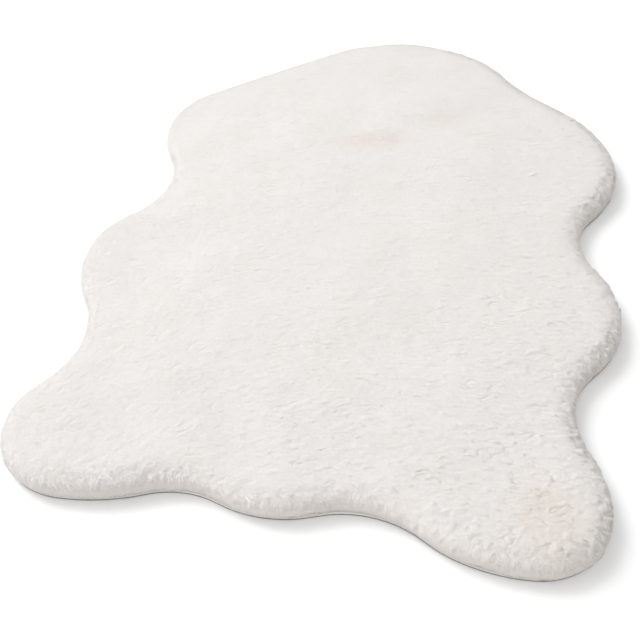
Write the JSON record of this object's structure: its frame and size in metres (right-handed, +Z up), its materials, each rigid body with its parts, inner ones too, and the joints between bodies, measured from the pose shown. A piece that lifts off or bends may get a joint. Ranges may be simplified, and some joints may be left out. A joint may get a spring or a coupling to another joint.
{
  "type": "faux fur rug",
  "caption": "Ivory faux fur rug in a sheepskin outline with wavy lobed sides, short dense pile with a rounded edge, lying flat on a thin backing.",
  "frame": {"origin": "on the floor, under the middle of the rug's outline", "axes": "+Y from the tail to the head, +X to the rug's right side seen from above with the head away, +Z up"},
  "size_m": [0.594, 0.8997, 0.03],
  "materials": {
    "fur": "matte",
    "backing": "matte"
  },
  "bodies": {
    "root": {"fur_pile": "fur", "backing": "backing"}
  },
  "joints": []
}
